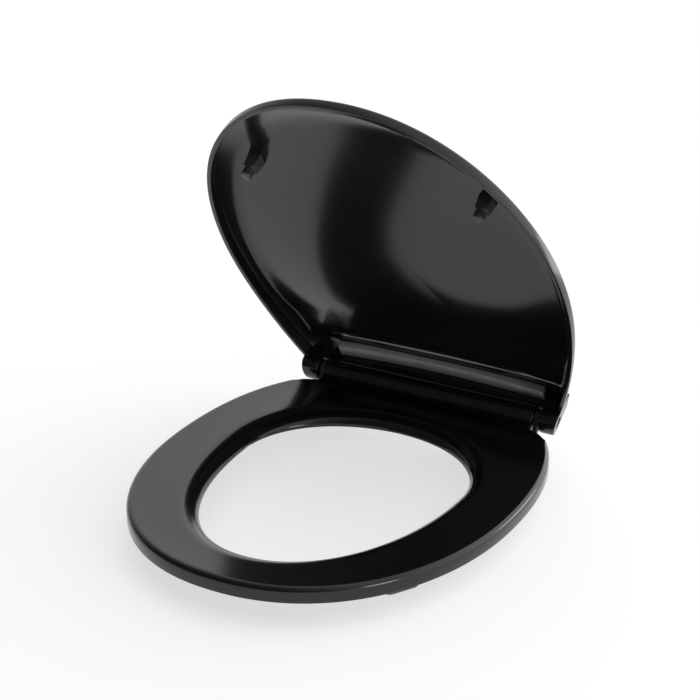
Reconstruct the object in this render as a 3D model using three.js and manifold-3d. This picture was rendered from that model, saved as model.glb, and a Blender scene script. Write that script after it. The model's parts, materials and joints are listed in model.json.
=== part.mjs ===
// Toilet seat and lid with a pair of hinge brackets, held on a pan by two top-fixed screws.
// Millimetres, +Z up, +Y to the back. The origin is midway between the two fixing
// screws, on the top face of the pan's rim. The lid stands open and the seat ring is down.
import * as THREE from "three";
import { mergeVertices } from "three/addons/utils/BufferGeometryUtils.js";
import Module from "manifold-3d";

const wasm = await Module();
wasm.setup();

// ---- driving dimensions -------------------------------------------------------------
const SEAT_LIFT = 8; // height of the seat's pads: the ring's underside above the rim
const AXIS_Y = 24; // hinge axis behind the fixing screws
const AXIS_Z = SEAT_LIFT + 17.6; // hinge axis above the rim
const LID_OPEN = 59.4; // how far the lid stands open, in degrees
const FIXING_X = 77.5; // half the distance between the fixing screws

// Plan of the seat ring, seen from above, measured from the hinge axis
const SEAT = { half: 185, wide: -190, front: 233, power: 2.14, side: [185, -38, 120, -21, 121, 18] };
const SEAT_THICK = 15.6; // underside to the ridge round the top
const BOWL = { half: 118.5, wide: -174.8, front: 185.9, rear: 104.4, power: 2.1 };

// Plan and heights of the lid when it is shut, heights measured from the ring's underside
const LID = { half: 188.5, wide: -193, front: 230, power: 2.1, side: [188.5, -121, 158, -27.5, 133, 21] };
const LID_REAR = 9; // the lid's rear face, behind the hinge axis
const RIM_LOW = 18.6; // bottom of the rim round the front and sides
const REAR_LOW = 33; // bottom of the rear wall
const RIM_WALL = 5;
const SKIN = 4.7; // thickness of the dome
const CEILING = 52.1; // highest point inside the lid

// Hinge, along the axis from the middle outwards
const BARREL_R = 11.5; // rolled rear edge of the seat
const LUG_X = 120; // the end of that edge
const PLATE_X = [121.8, 126.5]; // upright of the bracket
const KNUCKLE_X = [128.5, 144.5]; // arm of the lid
const KNUCKLE_SLANT = 0.28; // its outer end runs in with the lid's outline, per mm to the back
const KNUCKLE_R = 14.3;
const PIN = { r: 4, x: [99, 140] };
const BUSH_R = 6;
const FLANGE_R = BUSH_R + 2.5;
const SEAT_BUSH = { tube: [98.5, 120.4], flange: [120.3, 121.5] };
const LID_BUSH = { tube: [128.1, 140], flange: [126.8, 128.2] };
const PIN_CAP_X = [140.4, 142.3];
const GAP = 0.3; // between parts that touch

const STEPS = 72; // directions round the plan

// ---- plan curves --------------------------------------------------------------------
// Half outline of a plan: a superellipse round the front, then a curve up the side.
function sidePoints(plan) {
  const front = [];
  for (let i = 0; i < 30; i += 1) {
    const a = (Math.PI / 2) * (1 - i / 30);
    const x = plan.half * Math.cos(a) ** (2 / plan.power);
    front.push(new THREE.Vector2(x, plan.wide - plan.front * Math.sin(a) ** (2 / plan.power)));
  }
  const [ax, ay, bx, by, cx, cy] = plan.side;
  const start = new THREE.Vector2(plan.half, plan.wide);
  const side = new THREE.CubicBezierCurve(
    start, new THREE.Vector2(ax, ay), new THREE.Vector2(bx, by), new THREE.Vector2(cx, cy));
  return front.concat(side.getPoints(30));
}

// Half width of a plan at one place along it, and how far out a point is: 1 on the outline.
function halfWidth(points, y) {
  const i = points.findIndex((p) => p.y > y);
  if (i < 1) return i === 0 ? 0 : points[points.length - 1].x;
  const [p, q] = [points[i - 1], points[i]];
  return p.x + ((q.x - p.x) * (y - p.y)) / (q.y - p.y);
}

function outwardShare(plan, points, x, y) {
  if (y > plan.wide) return Math.min(1, Math.abs(x) / halfWidth(points, y));
  const across = (Math.abs(x) / plan.half) ** plan.power;
  const along = ((plan.wide - y) / plan.front) ** plan.power;
  return Math.min(1, (across + along) ** (1 / plan.power));
}

// Distance from the middle (0, middle) to a closed outline in direction (dx, dy).
function reach(outline, middle, dx, dy) {
  let best = 0;
  outline.forEach((p, i) => {
    const q = outline[(i + 1) % outline.length];
    const [px, py, ex, ey] = [p.x, p.y - middle, q.x - p.x, q.y - p.y];
    const cross = dx * ey - dy * ex;
    if (Math.abs(cross) < 1e-9) return;
    const along = (px * ey - py * ex) / cross;
    const on = (px * dy - py * dx) / cross;
    if (along > 0 && on >= -1e-6 && on <= 1 + 1e-6) best = Math.max(best, along);
  });
  return best;
}

const mirrored = (points) => points.concat(
  points.slice(1).reverse().map((p) => new THREE.Vector2(-p.x, p.y)));

// ---- solids -------------------------------------------------------------------------
// A closed geometry as a body to join and cut; corners at one place become one corner.
function solid(geometry) {
  geometry.deleteAttribute("normal");
  geometry.deleteAttribute("uv");
  const merged = mergeVertices(geometry, 1e-4);
  const corners = [];
  for (let i = 0; i < merged.index.count; i += 3) {
    const [a, b, c] = [0, 1, 2].map((k) => merged.index.getX(i + k));
    if (a !== b && b !== c && c !== a) corners.push(a, b, c);
  }
  return new wasm.Manifold(new wasm.Mesh({
    numProp: 3,
    vertProperties: Float32Array.from(merged.attributes.position.array),
    triVerts: Uint32Array.from(corners),
  }));
}

function geometryOf(body) {
  const mesh = body.getMesh();
  const g = new THREE.BufferGeometry();
  g.setAttribute("position", new THREE.BufferAttribute(Float32Array.from(mesh.vertProperties), 3));
  g.setIndex(new THREE.BufferAttribute(Uint32Array.from(mesh.triVerts), 1));
  return g;
}

const box = (x, y, z) => solid(new THREE.BoxGeometry(x[1] - x[0], y[1] - y[0], z[1] - z[0])
  .translate((x[0] + x[1]) / 2, (y[0] + y[1]) / 2, (z[0] + z[1]) / 2));

// A round bar along X, through the point (y, z).
const bar = (x, radius, y, z, sides = 24) => solid(
  new THREE.CylinderGeometry(radius, radius, x[1] - x[0], sides).rotateZ(Math.PI / 2)
    .translate((x[0] + x[1]) / 2, y, z));

// A section of radii and heights, turned about Z.
const lathe = (points, sides = 20) => new THREE.LatheGeometry(
  points.map(([r, z]) => new THREE.Vector2(r, z)), sides).rotateX(Math.PI / 2);

const upright = (r, z) => solid(lathe([[0, z[0]], [r, z[0]], [r, z[1]], [0, z[1]]]));

// A section drawn in (y, z) and drawn out along X.
function alongX(points, x) {
  const shape = new THREE.Shape(points.map(([y, z]) => new THREE.Vector2(y, z)));
  const g = new THREE.ExtrudeGeometry(shape, { depth: x[1] - x[0], bevelEnabled: false });
  return solid(g.applyMatrix4(new THREE.Matrix4().set(
    0, 0, 1, x[0], 1, 0, 0, 0, 0, 1, 0, 0, 0, 0, 0, 1)));
}

// A section drawn in (x, z) and drawn out along Y.
function alongY(points, y) {
  const shape = new THREE.Shape(points.map(([x, z]) => new THREE.Vector2(x, z)));
  const g = new THREE.ExtrudeGeometry(shape, { depth: y[1] - y[0], bevelEnabled: false });
  return solid(g.rotateX(Math.PI / 2).translate(0, y[1], 0));
}

// A plan drawn in (x, y) and raised between two heights.
function raised(points, z) {
  const shape = new THREE.Shape(points.map(([x, y]) => new THREE.Vector2(x, y)));
  const g = new THREE.ExtrudeGeometry(shape, { depth: z[1] - z[0], bevelEnabled: false });
  return solid(g.translate(0, 0, z[0]));
}

// A closed section of some rings, turned, whose rings go where place(direction, ring) says.
function turned(rings, place) {
  const closed = Array.from({ length: rings + 1 }, (_, i) => new THREE.Vector2(100 + i, i));
  const g = new THREE.LatheGeometry(closed, STEPS);
  const position = g.attributes.position;
  for (let i = 0; i < position.count; i += 1) {
    const ring = i % (rings + 1);
    const turn = ((i - ring) / (rings + 1)) % STEPS;
    const [x, y, z] = place((turn / STEPS) * 2 * Math.PI, ring % rings);
    position.setXYZ(i, x, y, z);
  }
  return solid(g);
}

const ringArc = (radius, from, to, steps, y, z) => Array.from({ length: steps + 1 }, (_, i) => {
  const a = THREE.MathUtils.degToRad(from + ((to - from) * i) / steps);
  return [y + radius * Math.cos(a), z + radius * Math.sin(a)];
});

const mirror = (body, side) => (side > 0 ? body : body.mirror([1, 0, 0]));

// ---- seat ring ----------------------------------------------------------------------
// Section of the ring: distance in from the outline (or, where negative, out from the
// opening), and height above the underside.
const SEAT_SECTION = [
  [0, 1.5], [0, 9], [2, 13.7], [6.6, SEAT_THICK], [11, 15.3], [-24, 14.2], [-9, 12.6], [-3, 9],
  [-0.6, 4], [0, 0, "bowl"], [-9, 0], [-12, 3.5], [29, 3.5], [26, 0], [1.5, 0],
];

function bowlReach(dx, dy) {
  const length = dy > 0 ? BOWL.rear : BOWL.front;
  const share = (Math.abs(dx) / BOWL.half) ** BOWL.power + (Math.abs(dy) / length) ** BOWL.power;
  return share ** (-1 / BOWL.power);
}

function ringBlank() {
  const outline = mirrored(sidePoints(SEAT));
  return turned(SEAT_SECTION.length, (a, ring) => {
    const [dx, dy] = [Math.sin(a), -Math.cos(a)];
    const [outer, inner] = [reach(outline, BOWL.wide, dx, dy), bowlReach(dx, dy)];
    const [inset, z, from] = SEAT_SECTION[ring];
    const r = inset < 0 || from ? inner - inset : outer - inset;
    return [r * dx, BOWL.wide + r * dy, z];
  });
}

// The rolled rear edge round the hinge axis, with the ramp that leads up to it.
function rearRoll() {
  const axisHeight = AXIS_Z - SEAT_LIFT;
  const over = ringArc(BARREL_R, 165, -90, 16, 0, axisHeight);
  const ramp = [[-40, 3.6], [-40, 14.3], [-26, 14.9], [-19, 15.6], [-15.5, 16.6], [-13, 18.2]];
  return alongX([...ramp, ...over, [-8, 3.2], [-14, 1.6], [-22, 1.6], [-26, 3.6]].reverse(),
    [-LUG_X, LUG_X]);
}

// What is cut away outside the lug, in plan: the curve from the ring's edge in to the lug.
const LUG_CORNER = [
  [LUG_X, -19], [131.3, -23.7], [137.5, -27.2], [145, -34], [170, -20], [170, 40], [LUG_X, 40]];
const SCREW_POCKET = { half: 11, y: [-34, -14], top: 4.5 }; // room over a fixing screw's head
const RING_END = -21; // the ring stops here and the rolled edge takes over

function seatRing() {
  const tall = [-5, 40];
  const behind = [[-220, RING_END], [220, RING_END], [220, 60], [-220, 60]];
  let body = ringBlank().subtract(raised(behind, tall)).add(rearRoll());
  for (const side of [-1, 1]) {
    const corner = mirror(raised(LUG_CORNER, tall), side);
    const bore = bar([SEAT_BUSH.tube[0] - 1.5, LUG_X + 2], BUSH_R + GAP, 0, AXIS_Z - SEAT_LIFT);
    const pocketX = [FIXING_X - SCREW_POCKET.half, FIXING_X + SCREW_POCKET.half];
    const pocket = mirror(box(pocketX, SCREW_POCKET.y, [tall[0], SCREW_POCKET.top]), side);
    body = body.subtract(corner).subtract(mirror(bore, side)).subtract(pocket);
  }
  return body;
}

// ---- lid ----------------------------------------------------------------------------
// Height of the lid's inside face: a low dome, boxier towards the hinge.
const DOME = { drop: 28.5, power: 4.57 };
const BOX = { drop: 26.4, power: 10.9, camber: 4.6 };
const BOXY_FROM = [-220, -40]; // where the dome starts to turn boxy, and where it has

function ceilingAt(share, y) {
  const domed = CEILING - DOME.drop * share ** DOME.power;
  const boxy = CEILING - BOX.camber * share ** 2 - BOX.drop * share ** BOX.power;
  const back = THREE.MathUtils.smoothstep(y, ...BOXY_FROM);
  return domed + (boxy - domed) * back;
}

// Rings of the lid: how far in from the edge, and what sets the height there.
const LID_RINGS = [
  ["wall", 1.2, 0], ["wall", 0, 1.2], ["wall", 0, 6], ["edge", 1.8, 0.62], ["top", 5], ["top", 12],
  ["top", 24], ["top", 42], ["top", 75], ["top", 115], ["top", 1e4], ["ceiling", 1e4], ["ceiling", 115],
  ["ceiling", 75], ["ceiling", 42], ["ceiling", 24], ["ceiling", 13], ["ceiling", 7.5],
  ["wall", RIM_WALL, 4], ["wall", RIM_WALL - 0.6, 0],
];

function lidBlank() {
  const side = sidePoints(LID).filter((p) => p.y < LID_REAR - 6);
  const last = side[side.length - 1];
  side.push(new THREE.Vector2(last.x - 3, LID_REAR - 2), new THREE.Vector2(last.x - 7, LID_REAR));
  const outline = mirrored(side);
  const points = sidePoints(LID);
  return turned(LID_RINGS.length, (a, ring) => {
    const [dx, dy] = [Math.sin(a), -Math.cos(a)];
    const [kind, inset, lift] = LID_RINGS[ring];
    const outer = reach(outline, LID.wide, dx, dy);
    const r = Math.max(0, outer - inset);
    const [x, y] = [r * dx, LID.wide + r * dy];
    const atRear = LID.wide + outer * dy > LID_REAR - 1;
    const low = atRear ? REAR_LOW : RIM_LOW;
    if (kind === "wall") return [x, y, low + lift];
    const height = ceilingAt(outwardShare(LID, points, x, y), y);
    if (kind === "edge") return [x, y, Math.max(low + 8, low + (height + SKIN - low) * lift + 3)];
    return [x, y, kind === "top" ? height + SKIN : height];
  });
}

// The rib across the lid's mouth at the hinge: its lower edge is arched like the dome.
const RIB = { half: LUG_X - 0.8, front: -10, low: 44.3, arch: 0.0003, lidHalf: 146, spans: 12 };

function rearRib() {
  const low = (x) => RIB.low - RIB.arch * x * x;
  const high = (x) => ceilingAt(Math.abs(x) / RIB.lidHalf, 0) + 1.5;
  const xs = Array.from({ length: RIB.spans + 1 }, (_, i) => RIB.half * ((2 * i) / RIB.spans - 1));
  const section = xs.map((x) => [x, low(x)]).concat(xs.reverse().map((x) => [x, high(x)]));
  return alongY(section, [RIB.front, LID_REAR - RIM_WALL + 1]);
}

function knuckle(side) {
  const axisHeight = AXIS_Z - SEAT_LIFT;
  const round = ringArc(KNUCKLE_R, -180, 0, 14, 0, axisHeight);
  const up = [[KNUCKLE_R - 1, 26], [LID_REAR, REAR_LOW + 1], [LID_REAR, 42], [-KNUCKLE_R, 38]];
  const wide = 60;
  const outer = (y) => [KNUCKLE_X[1] - KNUCKLE_SLANT * y, y];
  const beyond = raised([outer(-wide), [300, -wide], [300, wide], outer(wide)], [-wide, wide]);
  const arm = alongX([...round, ...up], [KNUCKLE_X[0], KNUCKLE_X[1] + 8]).subtract(beyond);
  const bore = bar([KNUCKLE_X[0] - 1, KNUCKLE_X[1] + 8], BUSH_R + GAP, 0, axisHeight);
  return [mirror(arm, side), mirror(bore, side)];
}

function lidShell() {
  const between = [-KNUCKLE_X[0], KNUCKLE_X[0]];
  const hingeRoom = box(between, [-KNUCKLE_R - 1, LID_REAR + 1], [0, REAR_LOW]);
  let body = lidBlank().add(rearRib()).subtract(hingeRoom);
  for (const side of [-1, 1]) {
    const [arm, bore] = knuckle(side);
    body = body.add(arm).subtract(bore);
  }
  return body;
}

// ---- hinge and fixings --------------------------------------------------------------
const FOOT_Z = [1.3, 4.8]; // the bracket's foot, on its gasket
const FOOT_Y = [-11, 11]; // about the fixing screw
const FOOT_X = [FIXING_X - 13, PLATE_X[1]];
const EYE_R = 9.5; // round the pin
const SCREW_R = 3;
const HOLE_R = SCREW_R + GAP;

// The bracket: an upright plate with an eye, leaning forward from the hinge axis, and a
// foot that runs in to the screw. Nothing of it stands behind the axis, where the lid turns.
const STEM = [[-13.5, -8], [-17.5, -17], [-17.5, -23], [-13.2, -23], [-11.5, -14]]; // from the eye

function bracket(side) {
  const eye = ringArc(EYE_R, -122, 172, 18, AXIS_Y, AXIS_Z);
  const plate = alongX([...eye, ...STEM.map(([y, z]) => [AXIS_Y + y, AXIS_Z + z])], PLATE_X);
  const pinHole = bar([PLATE_X[0] - 1, PLATE_X[1] + 1], PIN.r + GAP, AXIS_Y, AXIS_Z);
  const foot = box(FOOT_X, FOOT_Y, FOOT_Z).subtract(upright(HOLE_R, [-3, 9]).translate([FIXING_X, 0, 0]));
  return mirror(foot.add(plate).subtract(pinHole), side);
}

// A bush round the pin: a tube with a flange at the end that meets the bracket.
function bush({ tube, flange }) {
  const ends = [...tube, ...flange];
  const outside = bar(tube, BUSH_R, 0, 0).add(bar(flange, FLANGE_R, 0, 0));
  return outside.subtract(bar([Math.min(...ends) - 1, Math.max(...ends) + 1], PIN.r + GAP, 0, 0));
}

// Sections of the round pieces on a fixing screw's axis: radius, then height.
const SCREW_FOOT = -15.5;
const SCREW_SECTION = [
  [0, SCREW_FOOT], [SCREW_R, SCREW_FOOT], [SCREW_R, 6.2], [5.6, 6.2], [5.4, 7.4], [3.6, 8.3], [0, 8.6]];
const WASHER_SECTION = [[HOLE_R, 5.1], [6.6, 5.1], [6.6, 5.9], [HOLE_R, 5.9], [HOLE_R, 5.1]];
const PLUG_R = 6.4;
const PLUG_SECTION = [
  [HOLE_R, -11], [5.6, -11], [PLUG_R, -9], [PLUG_R, -GAP], [HOLE_R, -GAP], [HOLE_R, -11]];
const NUT_SECTION = [[0, -15], [5.6, -15], [6.2, -14.2], [6.2, -11.3], [0, -11.3]];

// A hexagonal nut under the plug: it is drawn up by the screw and swells the plug in its hole.
function plugNut() {
  return geometryOf(solid(lathe(NUT_SECTION, 6)).subtract(upright(HOLE_R, [SCREW_FOOT, 0])));
}

function footGasket(side) {
  const pad = box(FOOT_X, FOOT_Y, [0, FOOT_Z[0] - GAP]);
  return mirror(pad.subtract(upright(PLUG_R + GAP, [-2, 5]).translate([FIXING_X, 0, 0])), side);
}

// ---- buffers ------------------------------------------------------------------------
const LID_BUFFER = [122, -307]; // place on the lid
const SEAT_BUFFERS = { front: 46, rear: 122 }; // direction from the bowl's middle, in degrees
const SEAT_BUFFER_INSET = 16; // from the seat's edge to the middle of a pad

// Square foot against the lid, with a round soft nose that lands on the seat.
const FOOT_CORNER_R = { lid: 10.5, nose: 8 };
const NOSE = 9; // length of the nose
const NOSE_SECTION = [[0, 0], [4.2, 0], [6, 1.6], [6.4, NOSE + 0.5], [0, NOSE + 0.5]];

function lidBuffer(top, tip) {
  const foot = new THREE.CylinderGeometry(FOOT_CORNER_R.lid, FOOT_CORNER_R.nose, top - tip - NOSE, 4)
    .rotateX(Math.PI / 2).rotateZ(Math.PI / 4).translate(0, 0, (top + tip + NOSE) / 2);
  return solid(foot).add(solid(lathe(NOSE_SECTION)).translate([0, 0, tip]));
}

// A pad with round ends, standing on z = 0.
const SEAT_PAD = { r: 7, half: 11, edge: 1 };

function seatBuffer() {
  const { r, half, edge } = SEAT_PAD;
  const shape = new THREE.Shape();
  shape.absarc(half, 0, r, -Math.PI / 2, Math.PI / 2);
  shape.absarc(-half, 0, r, Math.PI / 2, 1.5 * Math.PI);
  return new THREE.ExtrudeGeometry(shape, {
    depth: SEAT_LIFT - GAP - 2 * edge, bevelThickness: edge, bevelSize: edge, bevelOffset: -edge,
    bevelSegments: 1, curveSegments: 8,
  }).translate(0, 0, edge);
}

// Where a pad lies on the ring's underside, and which way it is turned.
function padPlace(degrees) {
  const outline = mirrored(sidePoints(SEAT));
  const [here, next] = [degrees, degrees + 1].map((d) => {
    const a = THREE.MathUtils.degToRad(d);
    const r = reach(outline, SEAT.wide, Math.sin(a), -Math.cos(a));
    return new THREE.Vector2(r * Math.sin(a), SEAT.wide - r * Math.cos(a));
  });
  const along = next.clone().sub(here).normalize();
  return [here.x - along.y * SEAT_BUFFER_INSET, here.y + along.x * SEAT_BUFFER_INSET, along.angle()];
}

// ---- assembly -----------------------------------------------------------------------
const BLACK = { color: 0x121212, roughness: 0.12, metalness: 0 };
const RUBBER = { color: 0x1b1b1c, roughness: 0.6, metalness: 0 };
const NYLON = { color: 0x222224, roughness: 0.45, metalness: 0 };
const STEEL = { color: 0xb9bbbd, roughness: 0.3, metalness: 1 };

const assembly = new THREE.Group();
const seatFrame = new THREE.Group();
seatFrame.position.set(0, AXIS_Y, SEAT_LIFT);
const lidFrame = new THREE.Group();
lidFrame.position.set(0, AXIS_Y, AXIS_Z);
lidFrame.rotation.x = THREE.MathUtils.degToRad(-LID_OPEN);
const lidShut = new THREE.Group();
lidShut.position.z = SEAT_LIFT - AXIS_Z;
lidFrame.add(lidShut);
assembly.add(seatFrame, lidFrame);

function add(group, name, geometry, finish) {
  const mesh = new THREE.Mesh(geometry, new THREE.MeshStandardMaterial(finish));
  mesh.name = name;
  group.add(mesh);
  return mesh;
}

add(seatFrame, "seat_ring", geometryOf(seatRing()), BLACK);
add(lidShut, "lid", geometryOf(lidShell()), BLACK);

for (const [side, hand] of [[-1, "left"], [1, "right"]]) {
  const axis = AXIS_Z - SEAT_LIFT;
  const outermost = [LID_BUFFER[0] + 8, LID_BUFFER[1] - 8];
  const share = outwardShare(LID, sidePoints(LID), ...outermost);
  const top = ceilingAt(share, LID_BUFFER[1]) - GAP;
  const tip = SEAT_THICK + 0.4;
  add(lidShut, `lid_buffer_${hand}`, geometryOf(lidBuffer(top, tip)), RUBBER)
    .position.set(side * LID_BUFFER[0], LID_BUFFER[1], 0);
  for (const [end, direction] of Object.entries(SEAT_BUFFERS)) {
    const [x, y, turn] = padPlace(direction);
    const pad = add(seatFrame, `seat_buffer_${end}_${hand}`, seatBuffer(), RUBBER);
    pad.position.set(side * x, y, -SEAT_LIFT);
    pad.rotation.z = side * turn;
  }
  add(seatFrame, `seat_bush_${hand}`, geometryOf(mirror(bush(SEAT_BUSH), side)), NYLON).position.z = axis;
  add(lidShut, `lid_bush_${hand}`, geometryOf(mirror(bush(LID_BUSH), side)), NYLON).position.z = axis;
  const cap = mirror(bar(PIN_CAP_X, BUSH_R, 0, 0), side);
  add(lidShut, `pin_cap_${hand}`, geometryOf(cap), BLACK).position.z = axis;
  const pin = mirror(bar(PIN.x, PIN.r, AXIS_Y, AXIS_Z), side);
  add(assembly, `hinge_pin_${hand}`, geometryOf(pin), STEEL);
  add(assembly, `hinge_bracket_${hand}`, geometryOf(bracket(side)), NYLON);
  add(assembly, `bracket_gasket_${hand}`, geometryOf(footGasket(side)), RUBBER);
  const onScrew = {
    fixing_screw: [lathe(SCREW_SECTION), STEEL],
    screw_washer: [lathe(WASHER_SECTION), STEEL],
    expanding_plug: [lathe(PLUG_SECTION), RUBBER],
    plug_nut: [plugNut(), STEEL],
  };
  for (const [name, [geometry, finish]] of Object.entries(onScrew)) {
    add(assembly, `${name}_${hand}`, geometry, finish).position.x = side * FIXING_X;
  }
}

export default assembly;
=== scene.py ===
# Gloss black toilet seat ring and domed lid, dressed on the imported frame.
# Metres, +Z up, +Y towards the back. Plans are measured from the hinge axis, and heights
# from the underside of the seat ring. The lid is shaped shut and then swung open.
import json
import math

import bmesh
import bpy
from bpy.props import FloatProperty, FloatVectorProperty, PointerProperty
from mathutils import Matrix, Vector
from mathutils.geometry import interpolate_bezier


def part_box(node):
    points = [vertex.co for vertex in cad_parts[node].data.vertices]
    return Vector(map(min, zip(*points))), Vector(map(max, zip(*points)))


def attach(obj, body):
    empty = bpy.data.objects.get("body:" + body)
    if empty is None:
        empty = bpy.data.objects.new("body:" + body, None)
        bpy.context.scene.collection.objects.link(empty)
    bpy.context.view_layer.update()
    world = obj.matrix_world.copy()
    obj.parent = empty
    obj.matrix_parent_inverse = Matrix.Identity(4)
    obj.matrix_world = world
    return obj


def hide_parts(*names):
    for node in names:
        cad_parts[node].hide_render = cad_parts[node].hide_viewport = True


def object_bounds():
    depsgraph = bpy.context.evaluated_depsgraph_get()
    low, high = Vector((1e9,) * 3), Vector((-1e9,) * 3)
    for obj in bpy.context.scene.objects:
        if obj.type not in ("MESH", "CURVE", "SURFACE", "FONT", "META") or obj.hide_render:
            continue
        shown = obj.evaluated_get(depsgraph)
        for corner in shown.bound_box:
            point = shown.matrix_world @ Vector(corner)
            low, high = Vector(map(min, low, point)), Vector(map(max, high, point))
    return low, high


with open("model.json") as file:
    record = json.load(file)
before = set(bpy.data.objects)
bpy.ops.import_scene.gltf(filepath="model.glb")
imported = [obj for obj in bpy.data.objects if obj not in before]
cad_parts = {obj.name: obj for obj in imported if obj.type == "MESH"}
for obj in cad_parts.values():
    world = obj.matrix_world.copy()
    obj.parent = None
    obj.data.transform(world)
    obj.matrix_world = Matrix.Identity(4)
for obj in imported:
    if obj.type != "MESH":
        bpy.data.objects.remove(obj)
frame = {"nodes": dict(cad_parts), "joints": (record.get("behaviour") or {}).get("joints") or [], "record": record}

bl_info = {
    "name": "Toilet Seat and Lid",
    "version": (1, 0, 0),
    "blender": (4, 5, 0),
    "location": "3D View > Sidebar > Seat",
    "description": "Models a toilet seat ring, its lid and their fittings on a packed frame",
    "category": "Add Mesh",
}

# ---- places taken from the frame ----------------------------------------------------
CAD_BOX = [list(corner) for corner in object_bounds()]
HINGES = {joint["name"]: joint for joint in frame["joints"]}
AXIS = Vector(HINGES["lid_hinge"]["pos_m"])
LID_OPEN = -HINGES["lid_hinge"]["range_deg"][0]
SEAT_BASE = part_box("seat_ring")[0].z
AXIS_HEIGHT = AXIS.z - SEAT_BASE
FLOOR_GAP = 0.0005
FLOOR_Z = CAD_BOX[0][2] - FLOOR_GAP

TO_SEAT = Matrix.Translation((0, AXIS.y, SEAT_BASE))
TO_LID = (
    Matrix.Translation(AXIS)
    @ Matrix.Rotation(math.radians(-LID_OPEN), 4, "X")
    @ Matrix.Translation((0, 0, -AXIS_HEIGHT))
)
STATIONS = 240  # places round each plan
SIDES = (("left", -1), ("right", 1))


# ---- sizes and finishes a user would change -------------------------------------------
def length(name, description, default):
    """A size in metres."""
    return FloatProperty(
        name=name, description=description, default=default, unit="LENGTH", precision=4)


def tint(name, description, default):
    """A linear colour."""
    return FloatVectorProperty(
        name=name, description=description, default=default, subtype="COLOR", min=0, max=1)


class SeatSizes(bpy.types.PropertyGroup):
    thick: length("Thickness", "Underside of the ring to the ridge round its top", 0.0157)
    dip: length("Dip", "How far the top falls before the opening's round", 0.0016)
    outer_round: length("Outer round", "Radius between the top and the outer side", 0.0068)
    inner_round: length("Inner round", "How far in the round edge of the opening starts", 0.023)
    barrel: length("Barrel", "Radius of the rolled edge round the hinge axis", 0.0115)


class LidSizes(bpy.types.PropertyGroup):
    skin: length("Skin", "Thickness of the dome", 0.0047)
    rim_wall: length("Rim wall", "Thickness of the rim", 0.005)
    rim_low: length("Rim height", "Bottom of the rim above the ring's underside", 0.0186)
    edge_round: length("Edge round", "Radius between the rim and the dome", 0.0036)
    ceiling: length("Ceiling", "Highest point under the dome's skin", 0.0521)


class Finishes(bpy.types.PropertyGroup):
    gloss: tint("Gloss black", "Base colour of the moulded seat and lid", (0.0045, 0.0043, 0.0042))
    # The rib is a real part, but its light grey is a painted highlight that stands in for the bright band of
    # reflection along the hinge edge.
    rib_painted_highlight: tint("Satin rib", "Base colour of the bare rib inside the lid", (0.32, 0.32, 0.31))
    rubber: tint("Rubber", "Base colour of the buffers, gaskets and plugs", (0.028, 0.028, 0.029))
    nylon: tint("Nylon", "Base colour of the brackets and bushes", (0.022, 0.022, 0.023))
    steel: tint("Stainless steel", "Base colour of the pins and fasteners", (0.56, 0.56, 0.57))


class Studio(bpy.types.PropertyGroup):
    floor: tint("Floor", "Colour of the floor", (0.50, 0.50, 0.495))
    floor_glow: FloatProperty(
        name="Floor glow", description="Light from under the floor", default=0.62, min=0)
    surround: tint("Surround", "Colour of the light from all round", (1.0, 0.985, 0.965))
    surround_strength: FloatProperty(
        name="Surround strength", description="Brightness of the light from all round",
        default=2.0, min=0)


# ---- plans ------------------------------------------------------------------------------
class Plan:
    """Outline of a shell from above: a superellipse before its widest line, a curve behind it."""

    def __init__(self, half, wide, front, power, side, rear):
        self.half, self.wide, self.front, self.power = half, wide, front, power
        handles = [Vector((half, wide)), *map(Vector, side)]
        curve = [p.to_2d() for p in interpolate_bezier(*[v.to_3d() for v in handles], 90)]
        self.flank = curve
        self.side = [p for p in curve if p.y < rear[0][1] - 1e-6] + [Vector(p) for p in rear]

    def reach(self, dx, dy):
        """Distance from the middle of the widest line to the outline in a direction."""
        dx = abs(dx)
        if dy <= 0:
            share = (dx / self.half) ** self.power + (-dy / self.front) ** self.power
            return share ** (-1 / self.power)
        best = 0
        for p, q in zip(self.side, self.side[1:]):
            edge, start = q - p, p - Vector((0, self.wide))
            cross = dx * edge.y - dy * edge.x
            if abs(cross) < 1e-12:
                continue
            along = (start.x * edge.y - start.y * edge.x) / cross
            on = (start.x * dy - start.y * dx) / cross
            if -1e-6 <= on <= 1 + 1e-6:
                best = max(best, along)
        return best

    def half_width(self, y):
        """Half the width at a place behind the widest line."""
        for p, q in zip(self.flank, self.flank[1:]):
            if p.y <= y <= q.y:
                return p.x + (q.x - p.x) * (y - p.y) / (q.y - p.y)
        return self.flank[-1].x

    def share(self, x, y):
        """How far out a point is: 0 on the centreline, 1 on the outline."""
        if y > self.wide:
            return min(1, abs(x) / self.half_width(y))
        across = (abs(x) / self.half) ** self.power
        along = ((self.wide - y) / self.front) ** self.power
        return min(1, (across + along) ** (1 / self.power))


LUG_X = 0.120  # end of the seat's rolled edge
LUG_FRONT = -0.019  # the ring's rear edge, under the rolled edge
SEAT_PLAN = Plan(
    0.185, -0.190, 0.233, 2.14, [(0.185, -0.038), (0.120, -0.021), (0.121, 0.018)],
    [(0.145, -0.034), (0.1375, -0.0272), (0.1313, -0.0237), (LUG_X, LUG_FRONT), (0, LUG_FRONT)])
BOWL = {"half": 0.1185, "wide": -0.1748, "front": 0.1895, "rear": 0.1044, "power": 2.1}

LID_REAR = 0.009
LID_PLAN = Plan(
    0.1885, -0.193, 0.230, 2.1, [(0.1885, -0.121), (0.158, -0.0275), (0.133, 0.021)],
    [(0.1412, 0.003), (0.1398, 0.0062), (0.1372, 0.0083), (0.134, LID_REAR), (0, LID_REAR)])
KNUCKLE = {"x": (0.1285, 0.1445), "slant": 0.28, "r": 0.0143, "bore": 0.0063}


def smooth_step(low, high, x):
    t = min(1, max(0, (x - low) / (high - low)))
    return t * t * (3 - 2 * t)


def soft_least(a, b, blend):
    """The lower of two heights, with a rounded change from one to the other."""
    mix = min(1, max(0, 0.5 + 0.5 * (b - a) / blend))
    return b + (a - b) * mix - blend * mix * (1 - mix)


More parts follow.
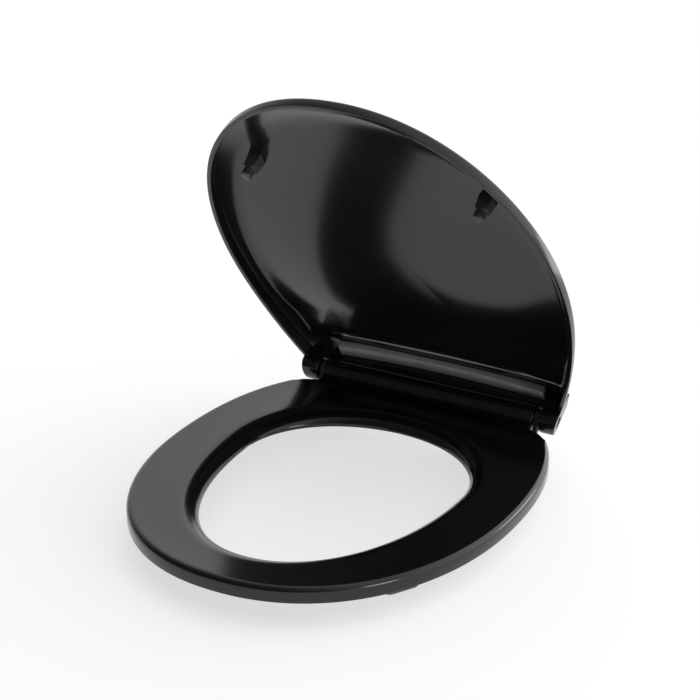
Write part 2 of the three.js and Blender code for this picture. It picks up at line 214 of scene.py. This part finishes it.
def bowl_reach(dx, dy):
    ahead = BOWL["rear"] if dy > 0 else BOWL["front"]
    share = (abs(dx) / BOWL["half"]) ** BOWL["power"] + (abs(dy) / ahead) ** BOWL["power"]
    return share ** (-1 / BOWL["power"])


# ---- mesh helpers -------------------------------------------------------------------------
def spun_shell(section, place, closed=True):
    """Spins a section right round and puts each point of it where place(turn, index) says."""
    bm = bmesh.new()
    ring = bm.verts.layers.int.new("ring")
    verts = [bm.verts.new((1 + u, 0, z)) for u, z in section]
    for index, vert in enumerate(verts):
        vert[ring] = index
    pairs = zip(verts, verts[1:] + verts[:1] if closed else verts[1:])
    edges = [bm.edges.new(pair) for pair in pairs]
    bmesh.ops.spin(
        bm, geom=verts + edges, cent=(0, 0, 0), axis=(0, 0, 1), angle=2 * math.pi,
        steps=STATIONS, use_merge=True)
    for vert in bm.verts:
        vert.co = place(math.atan2(vert.co.y, vert.co.x), vert[ring])
    return bm, ring


def round_rings(bm, ring, rounds):
    """Rounds the edges that run round a spun shell, by the section index they are on."""
    for index, (radius, segments) in rounds.items():
        edges = [e for e in bm.edges if all(v[ring] == index for v in e.verts)]
        bmesh.ops.bevel(
            bm, geom=edges, offset=radius, offset_type="OFFSET", segments=segments,
            profile=0.5, affect="EDGES", clamp_overlap=True, material=-1)


def drawn_out(points, x, bevel, segments=3):
    """A closed section in (y, z) drawn out along X, with the edges of its ends rounded."""
    bm = bmesh.new()
    face = bm.faces.new([bm.verts.new((x[0], y, z)) for y, z in points])
    out = bmesh.ops.extrude_face_region(bm, geom=[face])["geom"]
    moved = [v for v in out if isinstance(v, bmesh.types.BMVert)]
    bmesh.ops.translate(bm, verts=moved, vec=(x[1] - x[0], 0, 0))
    bmesh.ops.recalc_face_normals(bm, faces=bm.faces)
    ends = [e for e in bm.edges if abs(e.verts[0].co.x - e.verts[1].co.x) < 1e-9]
    bmesh.ops.bevel(
        bm, geom=ends, offset=bevel, offset_type="OFFSET", segments=segments, profile=0.5,
        affect="EDGES", clamp_overlap=True, material=-1)
    return bm


def lathed(section, steps=48):
    """A closed solid turned about Z from (distance out, height) points that end on the axis."""
    bm = bmesh.new()
    verts = [bm.verts.new((r, 0, z)) for r, z in section]
    edges = [bm.edges.new(pair) for pair in zip(verts, verts[1:])]
    bmesh.ops.spin(
        bm, geom=verts + edges, cent=(0, 0, 0), axis=(0, 0, 1), angle=2 * math.pi,
        steps=steps, use_merge=True)
    bmesh.ops.remove_doubles(bm, verts=bm.verts, dist=1e-7)
    bmesh.ops.recalc_face_normals(bm, faces=bm.faces)
    return bm


def arc(centre, radius, start, end, steps):
    """Points of a round stretch in a plane, from one angle to another in degrees."""
    turns = [math.radians(start + (end - start) * i / steps) for i in range(steps + 1)]
    return [(centre[0] + radius * math.cos(t), centre[1] + radius * math.sin(t)) for t in turns]


def joined(parts):
    """Several bmeshes as one."""
    whole = parts[0]
    for part in parts[1:]:
        mesh = bpy.data.meshes.new("part")
        part.to_mesh(mesh)
        whole.from_mesh(mesh)
        part.free()
        bpy.data.meshes.remove(mesh)
    return whole


def mirrored(bm):
    """The same shape on the other side of the middle."""
    bmesh.ops.scale(bm, vec=(-1, 1, 1), verts=bm.verts)
    bmesh.ops.reverse_faces(bm, faces=bm.faces)
    return bm


def piece(name, bm, body, material, stands_for, crease=32):
    """Puts a mesh in the scene as a piece of a body, standing for CAD nodes."""
    mesh = bpy.data.meshes.new(name)
    bm.to_mesh(mesh)
    bm.free()
    mesh.shade_smooth()
    mesh.set_sharp_from_angle(angle=math.radians(crease))
    mesh.materials.append(material)
    obj = bpy.data.objects.new(name, mesh)
    bpy.context.scene.collection.objects.link(obj)
    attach(obj, body)
    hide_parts(*stands_for)
    return obj


def dress(names, material):
    """Gives CAD nodes a finish."""
    for name in names:
        for place in frame["nodes"][name].material_slots:
            place.material = material


# ---- materials ----------------------------------------------------------------------------
def new_group(name, inputs, outputs):
    """An empty node group with float inputs and outputs; colours are given as 'NodeSocketColor'."""
    group = bpy.data.node_groups.new(name, "ShaderNodeTree")
    for socket, kind, default in inputs:
        made = group.interface.new_socket(name=socket, in_out="INPUT", socket_type=kind)
        if default is not None:
            made.default_value = default
    for socket, kind in outputs:
        group.interface.new_socket(name=socket, in_out="OUTPUT", socket_type=kind)
    return group, group.nodes.new("NodeGroupInput"), group.nodes.new("NodeGroupOutput")


def moulding_group():
    """Moulded surface: a slow mottle, hazy patches in the gloss and a faint ripple."""
    if "moulded_surface" in bpy.data.node_groups:
        return bpy.data.node_groups["moulded_surface"]
    group, given, result = new_group(
        "moulded_surface",
        [("Colour", "NodeSocketColor", None), ("Mottle", "NodeSocketFloat", 0.2),
         ("Roughness", "NodeSocketFloat", 0.08), ("Haze", "NodeSocketFloat", 0.04),
         ("Haze Scale", "NodeSocketFloat", 14.0), ("Grain Scale", "NodeSocketFloat", 900.0),
         ("Grain", "NodeSocketFloat", 0.02)],
        [("Colour", "NodeSocketColor"), ("Roughness", "NodeSocketFloat"),
         ("Normal", "NodeSocketVector")])
    nodes, link = group.nodes, group.links.new
    place = nodes.new("ShaderNodeTexCoord")

    cloud = nodes.new("ShaderNodeTexNoise")
    cloud.inputs["Detail"].default_value = 4
    link(place.outputs["Object"], cloud.inputs["Vector"])
    link(given.outputs["Haze Scale"], cloud.inputs["Scale"])

    lift = nodes.new("ShaderNodeMath")
    lift.operation = "MULTIPLY_ADD"
    link(cloud.outputs["Fac"], lift.inputs[0])
    link(given.outputs["Haze"], lift.inputs[1])
    link(given.outputs["Roughness"], lift.inputs[2])
    link(lift.outputs[0], result.inputs["Roughness"])

    swing = nodes.new("ShaderNodeMapRange")
    swing.inputs["From Min"].default_value = 0.3
    swing.inputs["From Max"].default_value = 0.7
    link(cloud.outputs["Fac"], swing.inputs["Value"])
    amount = nodes.new("ShaderNodeMath")
    amount.operation = "MULTIPLY_ADD"
    amount.inputs[2].default_value = 1.0
    link(swing.outputs["Result"], amount.inputs[0])
    link(given.outputs["Mottle"], amount.inputs[1])
    shade = nodes.new("ShaderNodeVectorMath")
    shade.operation = "SCALE"
    link(given.outputs["Colour"], shade.inputs[0])
    link(amount.outputs[0], shade.inputs["Scale"])
    link(shade.outputs["Vector"], result.inputs["Colour"])

    grain = nodes.new("ShaderNodeTexNoise")
    grain.inputs["Detail"].default_value = 3
    link(place.outputs["Object"], grain.inputs["Vector"])
    link(given.outputs["Grain Scale"], grain.inputs["Scale"])
    bump = nodes.new("ShaderNodeBump")
    bump.inputs["Distance"].default_value = 0.0002
    link(given.outputs["Grain"], bump.inputs["Strength"])
    link(grain.outputs["Fac"], bump.inputs["Height"])
    link(bump.outputs["Normal"], result.inputs["Normal"])
    return group


def material_with(name):
    """A new material and its Principled shader."""
    material = bpy.data.materials.get(name) or bpy.data.materials.new(name)
    material.use_nodes = True
    return material, material.node_tree.nodes["Principled BSDF"]


def moulded(name, colour, rough, haze, haze_scale, grain_scale, grain, mottle):
    """A moulded finish, from a mirror gloss to a matt rubber."""
    if name in bpy.data.materials:
        return bpy.data.materials[name]
    material, shader = material_with(name)
    surface = material.node_tree.nodes.new("ShaderNodeGroup")
    surface.node_tree = moulding_group()
    settings = {
        "Colour": (*colour, 1), "Mottle": mottle, "Roughness": rough, "Haze": haze,
        "Haze Scale": haze_scale, "Grain Scale": grain_scale, "Grain": grain}
    for socket, value in settings.items():
        surface.inputs[socket].default_value = value
    link = material.node_tree.links.new
    link(surface.outputs["Colour"], shader.inputs["Base Color"])
    link(surface.outputs["Roughness"], shader.inputs["Roughness"])
    link(surface.outputs["Normal"], shader.inputs["Normal"])
    shader.inputs["IOR"].default_value = 1.5
    return material


def gloss_black():
    return moulded("polished_black", bpy.context.scene.seat_finishes.gloss, rough=0.125, haze=0.05,
                   haze_scale=11, grain_scale=160, grain=0.008, mottle=0.25)


# Satin finish for the rib. Its light grey is a painted highlight that stands in for the bright band of reflection
# along the hinge edge.
def rib_painted_highlight_finish():
    return moulded("satin_rib", bpy.context.scene.seat_finishes.rib_painted_highlight, rough=0.36, haze=0.1,
                   haze_scale=40, grain_scale=1400, grain=0.12, mottle=0.2)


def black_rubber():
    return moulded("matt_rubber", bpy.context.scene.seat_finishes.rubber, rough=0.3, haze=0.15,
                   haze_scale=120, grain_scale=2600, grain=0.35, mottle=0.5)


def black_nylon():
    return moulded("moulded_nylon", bpy.context.scene.seat_finishes.nylon, rough=0.34, haze=0.15,
                   haze_scale=90, grain_scale=1800, grain=0.2, mottle=0.3)


def brushed_steel():
    """Stainless steel with fine scratches that run along X."""
    name = "brushed_steel"
    if name in bpy.data.materials:
        return bpy.data.materials[name]
    material, shader = material_with(name)
    nodes, link = material.node_tree.nodes, material.node_tree.links.new
    place, stretch = nodes.new("ShaderNodeTexCoord"), nodes.new("ShaderNodeMapping")
    stretch.inputs["Scale"].default_value = (60, 2400, 2400)
    link(place.outputs["Object"], stretch.inputs["Vector"])
    scratches = nodes.new("ShaderNodeTexNoise")
    scratches.inputs["Scale"].default_value = 1
    scratches.inputs["Detail"].default_value = 2
    link(stretch.outputs["Vector"], scratches.inputs["Vector"])
    tone = nodes.new("ShaderNodeMix")
    tone.data_type = "RGBA"
    tone.inputs[6].default_value = [c * 0.82 for c in bpy.context.scene.seat_finishes.steel] + [1]
    tone.inputs[7].default_value = (*bpy.context.scene.seat_finishes.steel, 1)
    link(scratches.outputs["Fac"], tone.inputs[0])
    link(tone.outputs[2], shader.inputs["Base Color"])
    dull = nodes.new("ShaderNodeMapRange")
    dull.inputs["To Min"].default_value = 0.22
    dull.inputs["To Max"].default_value = 0.42
    link(scratches.outputs["Fac"], dull.inputs["Value"])
    link(dull.outputs["Result"], shader.inputs["Roughness"])
    bump = nodes.new("ShaderNodeBump")
    bump.inputs["Strength"].default_value = 0.15
    bump.inputs["Distance"].default_value = 0.0001
    link(scratches.outputs["Fac"], bump.inputs["Height"])
    link(bump.outputs["Normal"], shader.inputs["Normal"])
    shader.inputs["Metallic"].default_value = 1.0
    return material


# ---- seat ring ------------------------------------------------------------------------------
RING_WIDE = 0.0665  # width of the ring where its section is drawn
RAMP = [(-0.030, 0.01475), (-0.018, 0.0152), (-0.01227, 0.01625), (-0.01111, 0.02058)]


def ring_section(sizes):
    """Section of the ring as (distance out from the opening, height), and what is rounded."""
    start = sizes.inner_round
    low, high = sizes.thick - sizes.dip, sizes.thick + 0.0002
    lip = [(start * (1 - math.cos(t)), low * math.sin(t))
           for t in (math.radians(7.5 * i) for i in range(1, 12))]
    flat = [start, 0.028, 0.034, 0.040, 0.047, 0.054, 0.0585]
    crown = lip + [(u, low + (high - low) * ((u - start) / (RING_WIDE - start)) ** 1.6)
                   for u in flat]
    section = [(0, 0), *crown, (RING_WIDE, high), (RING_WIDE, 0)]
    under = [(0.0405, 0), (0.0375, 0.0035), (0.012, 0.0035), (0.009, 0)]
    rounds = {
        0: (0.0008, 3), len(crown) + 1: (sizes.outer_round, 9), len(crown) + 2: (0.0015, 3)}
    return section + under, rounds, range(1, len(crown) + 2)


def stretched(u, width):
    """Keeps both edges of the ring's section true and takes up the width between them."""
    edge = 0.0235
    if u <= edge:
        return u
    if u >= RING_WIDE - edge:
        return width - (RING_WIDE - u)
    return edge + (u - edge) * (width - 2 * edge) / (RING_WIDE - 2 * edge)


def ramp_height(y):
    start, slope = RAMP[0], (RAMP[1][1] - RAMP[0][1]) / (RAMP[1][0] - RAMP[0][0])
    return start[1] + slope * (y - start[0])


def ring_shell(sizes):
    section, rounds, top = ring_section(sizes)

    def place(turn, index):
        dx, dy = math.sin(turn), -math.cos(turn)
        outer, inner = SEAT_PLAN.reach(dx, dy), bowl_reach(dx, dy)
        u, z = section[index]
        middle = Vector((0, SEAT_PLAN.wide))
        start = Vector((0, BOWL["wide"])) + Vector((dx, dy)) * inner
        end = middle + Vector((dx, dy)) * outer
        width = (end - start).length
        point = start + (end - start) * (stretched(u, width) / width)
        at_lug = 1 - smooth_step(LUG_X - 0.004, LUG_X + 0.014, abs(end.x)) if dy > 0 else 0
        at_lug *= smooth_step(-0.062, -0.038, point.y)
        if index in top:
            z += (ramp_height(point.y) - z) * at_lug
        elif u > 0.012:
            z += (0.0046 - z) * at_lug
        return Vector((point.x, point.y, z))

    bm, ring = spun_shell(section, place)
    round_rings(bm, ring, rounds)
    bmesh.ops.recalc_face_normals(bm, faces=bm.faces)
    return bm


def rolled_edge(sizes):
    """The ramp at the back of the ring and the barrel round the hinge axis."""
    ramp = [p.to_2d() for p in interpolate_bezier(*[Vector((*p, 0)) for p in RAMP], 18)]
    ramp[0].y -= 0.00012
    over = arc((0, AXIS_HEIGHT), sizes.barrel, 163, -90, 44)
    under = [(-0.007, 0.0052), (-0.014, 0.0046), (-0.030, 0.0046)]
    return drawn_out([*ramp, *over, *under], (-LUG_X, LUG_X), 0.0011)


class SEAT_OT_ring(bpy.types.Operator):
    """Seat ring with its opening, dished top and rolled rear edge"""
    bl_idname = "seat.ring"
    bl_label = "Seat Ring"

    def execute(self, context):
        sizes = context.scene.seat_sizes
        bm = joined([ring_shell(sizes), rolled_edge(sizes)])
        bmesh.ops.transform(bm, matrix=TO_SEAT, verts=bm.verts)
        piece("ring_shell", bm, "seat", gloss_black(), ["seat_ring"])
        return {"FINISHED"}


# ---- lid --------------------------------------------------------------------------------------
DOME = {"drop": 0.0285, "power": 4.57}
BOX = {"camber": 0.0046, "drop": 0.0264, "power": 10.9}
BOXY_FROM, BOXY_TO = -0.220, -0.040


def ceiling_at(sizes, share, y):
    """Height under the dome's skin: a low dome, boxier towards the hinge."""
    domed = sizes.ceiling - DOME["drop"] * share ** DOME["power"]
    boxy = sizes.ceiling - BOX["camber"] * share ** 2 - BOX["drop"] * share ** BOX["power"]
    return domed + (boxy - domed) * smooth_step(BOXY_FROM, BOXY_TO, y)


# Height of the inner face by powers of the way forward and the way out, in metres.
INNER_FACE = {
    (0, 0): 0.0399, (1, 0): 0.0112, (2, 0): 0.0103, (0, 2): -0.0091, (1, 2): -0.0060,
    (3, 0): -0.0272, (0, 4): 0.0064, (2, 2): 0.0015}
LEVEL = {"behind": -0.55, "ahead": 0.5, "blend": 0.2}  # the panel is level past these
RISE = {"height": 0.0105, "from": -0.034, "to": -0.013}  # in front of the rib
RIM_FILLET = {"drop": 0.013, "power": 24, "blend": 0.002, "least_skin": 0.002}


def inside_at(sizes, x, y):
    """Height of the lid's inner face: a nearly flat panel with a tight fillet at the rim."""
    share = LID_PLAN.share(x, y)
    ahead, out = (LID_PLAN.wide - y) / LID_PLAN.front, x / LID_PLAN.half
    ahead = soft_least(max(ahead, LEVEL["behind"]), LEVEL["ahead"], LEVEL["blend"])
    panel = sum(k * ahead ** m * out ** n for (m, n), k in INNER_FACE.items())
    panel += RISE["height"] * smooth_step(RISE["from"], RISE["to"], y)
    panel -= RIM_FILLET["drop"] * share ** RIM_FILLET["power"]
    limit = ceiling_at(sizes, share, y) + sizes.skin - RIM_FILLET["least_skin"]
    return soft_least(panel, limit, RIM_FILLET["blend"])


INSETS = [0.0025, 0.0055, 0.007, 0.009, 0.011, 0.0135, 0.017, 0.021, 0.026, 0.032, 0.042, 0.054,
          0.070, 0.090, 0.115, 0.140, 0.165]


REAR_WALL = {"low": 0.033, "ease": (-0.014, 0.001)}  # clears the hinge


def lid_shell(sizes):
    """Dome and rim, as one skin with its pole at the middle of the widest line."""
    pole = [("pole", 1.0)]
    top = pole + [("top", inset) for inset in reversed(INSETS)] + [("top", 0.0)]
    walls = [("wall", 0.0), ("wall", sizes.rim_wall)]
    inside = [("ceiling", inset) for inset in INSETS if inset > sizes.rim_wall] + [("bottom", 1.0)]
    rings = top + walls + [("ceiling", sizes.rim_wall)] + inside
    corner, foot = len(top) - 1, len(top)

    def place(turn, index):
        dx, dy = math.sin(turn), -math.cos(turn)
        outer = LID_PLAN.reach(dx, dy)
        kind, inset = rings[index]
        r = 0 if inset == 1.0 else outer - inset
        x, y = r * dx, LID_PLAN.wide + r * dy
        if kind == "wall":
            far = Vector((outer * dx, LID_PLAN.wide + outer * dy))
            behind = smooth_step(*REAR_WALL["ease"], far.y)
            inboard = 1 - smooth_step(KNUCKLE["x"][0] + 0.001, KNUCKLE["x"][1], abs(far.x))
            raised = (REAR_WALL["low"] - sizes.rim_low) * behind * inboard
            return Vector((x, y, sizes.rim_low + raised))
        share = LID_PLAN.share(x, y)
        if kind in ("top", "pole"):
            return Vector((x, y, ceiling_at(sizes, share, y) + sizes.skin))
        return Vector((x, y, inside_at(sizes, x, y)))

    bm, ring = spun_shell([(0.01 * i, 0) for i in range(len(rings))], place, closed=False)
    bmesh.ops.remove_doubles(bm, verts=bm.verts, dist=1e-6)
    round_rings(bm, ring, {
        corner: (sizes.edge_round, 7), foot: (0.0012, 3), foot + 1: (0.001, 3),
        foot + 2: (0.0032, 6)})
    bmesh.ops.recalc_face_normals(bm, faces=bm.faces)
    return bm


RIB = {
    "half": 0.1192, "front": -0.010, "back": 0.005, "low": 0.0462, "arch": 0.3, "high": 0.0548,
    "high_arch": 0.35, "round": 0.0008}


def lid_rib():
    """Arched rib across the lid's mouth, over the seat's rolled edge."""
    spans = 40
    bm = bmesh.new()
    xs = [RIB["half"] * (2 * i / spans - 1) for i in range(spans + 1)]
    low = [(x, RIB["low"] - RIB["arch"] * x * x) for x in xs]
    high = [(x, RIB["high"] - RIB["high_arch"] * x * x) for x in reversed(xs)]
    face = bm.faces.new([bm.verts.new((x, RIB["front"], z)) for x, z in low + high])
    out = bmesh.ops.extrude_face_region(bm, geom=[face])["geom"]
    moved = [v for v in out if isinstance(v, bmesh.types.BMVert)]
    bmesh.ops.translate(bm, verts=moved, vec=(0, RIB["back"] - RIB["front"], 0))
    bmesh.ops.recalc_face_normals(bm, faces=bm.faces)
    rims = [e for e in bm.edges if abs(e.verts[0].co.y - e.verts[1].co.y) < 1e-9]
    bmesh.ops.bevel(
        bm, geom=rims, offset=RIB["round"], offset_type="OFFSET", segments=3, profile=0.5,
        affect="EDGES", clamp_overlap=True, material=-1)
    return bm


def lid_knuckle(side):
    """Arm of the lid that carries a bush: a round end with a bore, and a web up to the dome."""
    r, bore = KNUCKLE["r"], KNUCKLE["bore"]
    outside = arc((0, AXIS_HEIGHT), r, -180, 0, 32)
    outside += [(r - 0.0004, 0.024), (LID_REAR + 0.0012, 0.032), (LID_REAR - 0.001, 0.044)]
    outside += [(-0.012, 0.046), (-r, 0.040)]
    inside = arc((0, AXIS_HEIGHT), bore, 0, 360, 40)[:-1]
    bm = bmesh.new()
    x0, x1 = KNUCKLE["x"]
    loops = []
    for loop in (outside, inside):
        verts = [bm.verts.new((x0, y, z)) for y, z in loop]
        loops += [bm.edges.new(pair) for pair in zip(verts, verts[1:] + verts[:1])]
    faces = bmesh.ops.triangle_fill(bm, use_beauty=True, edges=loops)["geom"]
    faces = [f for f in faces if isinstance(f, bmesh.types.BMFace)]
    out = bmesh.ops.extrude_face_region(bm, geom=faces)["geom"]
    moved = [v for v in out if isinstance(v, bmesh.types.BMVert)]
    bmesh.ops.translate(bm, verts=moved, vec=(x1 - x0, 0, 0))
    for vert in moved:
        vert.co.x -= KNUCKLE["slant"] * vert.co.y
    bmesh.ops.recalc_face_normals(bm, faces=bm.faces)
    caps = [f for f in bm.faces if abs(f.normal.x) > 0.9]
    ends = [e for e in bm.edges if sum(f in caps for f in e.link_faces) == 1]
    bmesh.ops.bevel(
        bm, geom=ends, offset=0.0007, offset_type="OFFSET", segments=3, profile=0.5,
        affect="EDGES", clamp_overlap=True, material=-1)
    return bm if side > 0 else mirrored(bm)


class SEAT_OT_lid(bpy.types.Operator):
    """Domed lid with its rim, rear rib and hinge knuckles"""
    bl_idname = "seat.lid"
    bl_label = "Lid"

    def execute(self, context):
        sizes = context.scene.lid_sizes
        bm = joined([lid_shell(sizes), lid_knuckle(-1), lid_knuckle(1)])
        bmesh.ops.transform(bm, matrix=TO_LID, verts=bm.verts)
        piece("lid_shell", bm, "lid", gloss_black(), ["lid"])
        bm = lid_rib()
        bmesh.ops.transform(bm, matrix=TO_LID, verts=bm.verts)
        # The rib's light grey finish is a painted highlight along the hinge edge.
        piece("lid_rib", bm, "lid", rib_painted_highlight_finish(), ["lid"])
        return {"FINISHED"}


# ---- buffers ------------------------------------------------------------------------------------
LID_BUFFER = (0.122, -0.307)
BUFFER_TIP = 0.016
SEAT_PAD = {"r": 0.007, "half": 0.011}


def lid_buffer(side):
    """Tapered square foot on the lid, and a round soft nose that lands on the seat."""
    x, y = LID_BUFFER
    top = inside_at(bpy.context.scene.lid_sizes, x, y) + 0.0006
    nose = 0.009
    bm = bmesh.new()
    made = bmesh.ops.create_cube(bm, size=1)["verts"]
    bmesh.ops.scale(bm, vec=(0.0148, 0.0148, top - BUFFER_TIP - nose), verts=made)
    lower = [v for v in made if v.co.z < 0]
    bmesh.ops.scale(bm, vec=(0.78, 0.78, 1), verts=lower)
    bmesh.ops.translate(bm, vec=(0, 0, (top + BUFFER_TIP + nose) / 2), verts=made)
    bmesh.ops.bevel(
        bm, geom=bm.edges[:], offset=0.0013, offset_type="OFFSET", segments=4, profile=0.5,
        affect="EDGES", clamp_overlap=True, material=-1)
    round_tip = arc((0.0035, BUFFER_TIP + 0.002), 0.002, -90, 0, 6)
    profile = [(0, BUFFER_TIP), *round_tip, (0.0058, BUFFER_TIP + nose + 0.0003),
               (0, BUFFER_TIP + nose + 0.0003)]
    bm = joined([bm, lathed(profile)])
    bmesh.ops.translate(bm, vec=(x, y, 0), verts=bm.verts)
    return bm if side > 0 else mirrored(bm)


def seat_pad(low, high, turn):
    """Flat rubber pad with round ends, on the ring's underside."""
    bm = bmesh.new()
    verts = bmesh.ops.create_circle(bm, cap_ends=True, radius=SEAT_PAD["r"], segments=40)["verts"]
    for vert in verts:
        vert.co.x += math.copysign(SEAT_PAD["half"], vert.co.x) if abs(vert.co.x) > 1e-6 else 0
    out = bmesh.ops.extrude_face_region(bm, geom=bm.faces[:])["geom"]
    moved = [v for v in out if isinstance(v, bmesh.types.BMVert)]
    bmesh.ops.translate(bm, verts=moved, vec=(0, 0, high - low))
    bmesh.ops.recalc_face_normals(bm, faces=bm.faces)
    rims = [e for e in bm.edges if abs(e.verts[0].co.z - e.verts[1].co.z) < 1e-9]
    bmesh.ops.bevel(
        bm, geom=rims, offset=0.0014, offset_type="OFFSET", segments=4, profile=0.5,
        affect="EDGES", clamp_overlap=True, material=-1)
    bmesh.ops.rotate(bm, cent=(0, 0, 0), matrix=Matrix.Rotation(turn, 3, "Z"), verts=bm.verts)
    bmesh.ops.translate(bm, vec=(0, 0, low), verts=bm.verts)
    return bm


def pad_turn(node):
    """Which way a CAD pad lies: the direction of its long axis, from its box's shape."""
    low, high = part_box(node)
    size, r, half = high - low, SEAT_PAD["r"], SEAT_PAD["half"]
    turn = math.atan2(max(0, size.y - 2 * r), max(0, size.x - 2 * r))
    corner = max(frame["nodes"][node].data.vertices, key=lambda v: v.co.y).co
    return turn if corner.x > (low.x + high.x) / 2 else math.pi - turn


class SEAT_OT_buffers(bpy.types.Operator):
    """Rubber buffers of the lid, and the pads under the seat ring"""
    bl_idname = "seat.buffers"
    bl_label = "Buffers"

    def execute(self, context):
        for hand, side in SIDES:
            bm = lid_buffer(side)
            bmesh.ops.transform(bm, matrix=TO_LID, verts=bm.verts)
            node = f"lid_buffer_{hand}"
            piece(f"lid_bumper_{hand}", bm, "lid", black_rubber(), [node])
            for end in ("front", "rear"):
                node = f"seat_buffer_{end}_{hand}"
                low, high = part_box(node)
                bm = seat_pad(low.z, high.z, pad_turn(node))
                middle = (low + high) / 2
                bmesh.ops.translate(bm, vec=(middle.x, middle.y, 0), verts=bm.verts)
                name = f"seat_pad_{end}_{hand}"
                piece(name, bm, "seat", black_rubber(), [node])
        return {"FINISHED"}


# ---- hinge and fixings --------------------------------------------------------------------------
class SEAT_OT_fittings(bpy.types.Operator):
    """Finishes of the brackets, pins, bushes, caps and fixings"""
    bl_idname = "seat.fittings"
    bl_label = "Hinge and Fixings"

    def execute(self, context):
        finishes = {
            "gloss_black": gloss_black, "black_rubber": black_rubber,
            "black_nylon": black_nylon, "stainless_steel": brushed_steel}
        for part in frame["record"]["subparts"]:
            dress([part["node"]], finishes[part["material_slot"]]())
        return {"FINISHED"}


# ---- stage --------------------------------------------------------------------------------------
CAMERA = {"at": (0.84114, -1.66182, 0.91288), "turn": 29.067, "tilt": 24.023, "lens": 102.86}


def soft_box(name, at, towards, size, power):
    """A rectangular studio light that faces a point."""
    light = bpy.data.lights.new(name, "AREA")
    light.shape = "RECTANGLE"
    light.size, light.size_y = size
    light.energy = power
    obj = bpy.data.objects.new(name, light)
    obj.location = at
    aim = Vector(towards) - Vector(at)
    obj.rotation_euler = aim.to_track_quat("-Z", "Y").to_euler()
    bpy.context.scene.collection.objects.link(obj)


FLOOR_SIZE = 6
FLOOR_ROUGHNESS = 0.9
SENSOR = 36
BRIGHT_SIDE = (0.5, 0.866, 0)  # behind the object, to the right
# Level of the surround from the dim side, 0, to the bright side, 1.
FADE = ((0.0, 0.05), (0.2, 0.05), (0.275, 0.125), (0.65, 0.5), (1.0, 0.95))
SOFT_BOXES = (
    ("right_low", (1.9, -0.9, 0.3), (0.1, -0.3, 0), (0.6, 0.35), 6),
    ("back_right", (0.75, 0.66, 0.12), (0.15, 0.1, 0.25), (0.4, 0.3), 1.2),
)


def surround(studio):
    """Soft light from all round that is brightest behind the object and dim behind the camera."""
    world = bpy.data.worlds.new("surround")
    world.use_nodes = True
    nodes, link = world.node_tree.nodes, world.node_tree.links.new
    way, facing = nodes.new("ShaderNodeTexCoord"), nodes.new("ShaderNodeVectorMath")
    facing.operation = "DOT_PRODUCT"
    facing.inputs[1].default_value = BRIGHT_SIDE
    link(way.outputs["Generated"], facing.inputs[0])
    spread = nodes.new("ShaderNodeMapRange")
    spread.inputs["From Min"].default_value = -1
    link(facing.outputs["Value"], spread.inputs["Value"])
    fade = nodes.new("ShaderNodeValToRGB")
    fade.color_ramp.interpolation = "EASE"
    stops = fade.color_ramp.elements
    for index, (at, level) in enumerate(FADE):
        stop = stops[index] if index < 2 else stops.new(at)
        stop.position = at
        stop.color = (*[level * c for c in studio.surround], 1)
    link(spread.outputs["Result"], fade.inputs["Fac"])
    backdrop = nodes["Background"]
    link(fade.outputs["Color"], backdrop.inputs["Color"])
    backdrop.inputs["Strength"].default_value = studio.surround_strength
    return world


class SEAT_OT_stage(bpy.types.Operator):
    """Pale floor, soft studio light and the camera"""
    bl_idname = "seat.stage"
    bl_label = "Studio"

    def execute(self, context):
        studio = context.scene.seat_studio
        bm = bmesh.new()
        bmesh.ops.create_grid(bm, x_segments=1, y_segments=1, size=FLOOR_SIZE)
        bmesh.ops.translate(bm, vec=(0, 0, FLOOR_Z), verts=bm.verts)
        mesh = bpy.data.meshes.new("floor")
        bm.to_mesh(mesh)
        bm.free()
        material, shader = material_with("pale_floor")
        shader.inputs["Base Color"].default_value = (*studio.floor, 1)
        shader.inputs["Roughness"].default_value = FLOOR_ROUGHNESS
        shader.inputs["Emission Color"].default_value = (1, 1, 1, 1)
        shader.inputs["Emission Strength"].default_value = studio.floor_glow
        mesh.materials.append(material)
        floor = bpy.data.objects.new("floor", mesh)
        context.scene.collection.objects.link(floor)

        context.scene.world = surround(studio)
        for light in SOFT_BOXES:
            soft_box(*light)

        camera = bpy.data.cameras.new("camera")
        camera.lens, camera.sensor_width = CAMERA["lens"], SENSOR
        camera.clip_start, camera.clip_end = 0.05, 50
        view = bpy.data.objects.new("camera", camera)
        view.location = CAMERA["at"]
        view.rotation_euler = (math.radians(90 - CAMERA["tilt"]), 0, math.radians(CAMERA["turn"]))
        context.scene.collection.objects.link(view)
        context.scene.camera = view
        context.scene.view_settings.view_transform = "Standard"
        return {"FINISHED"}


# ---- add-on -------------------------------------------------------------------------------------
class SEAT_PT_panel(bpy.types.Panel):
    bl_idname = "SEAT_PT_panel"
    bl_label = "Toilet Seat and Lid"
    bl_space_type = "VIEW_3D"
    bl_region_type = "UI"
    bl_category = "Seat"

    def draw(self, context):
        for name in SETTINGS:
            group = getattr(context.scene, name)
            box = self.layout.box()
            for key in group.bl_rna.properties.keys():
                if key not in {"rna_type", "name"}:
                    box.prop(group, key)
        for step in STEPS:
            self.layout.operator(step.bl_idname)


SETTINGS = {
    "seat_sizes": SeatSizes, "lid_sizes": LidSizes, "seat_finishes": Finishes,
    "seat_studio": Studio}
STEPS = (SEAT_OT_ring, SEAT_OT_lid, SEAT_OT_buffers, SEAT_OT_fittings, SEAT_OT_stage)


def register():
    for cls in (*SETTINGS.values(), *STEPS, SEAT_PT_panel):
        bpy.utils.register_class(cls)
    for name, group in SETTINGS.items():
        setattr(bpy.types.Scene, name, PointerProperty(type=group))


def unregister():
    for name in SETTINGS:
        delattr(bpy.types.Scene, name)
    for cls in (SEAT_PT_panel, *reversed(STEPS), *SETTINGS.values()):
        bpy.utils.unregister_class(cls)


def main():
    register()
    bpy.ops.seat.ring()
    bpy.ops.seat.lid()
    bpy.ops.seat.buffers()
    bpy.ops.seat.fittings()
    bpy.ops.seat.stage()


if __name__ == "__main__":
    main()
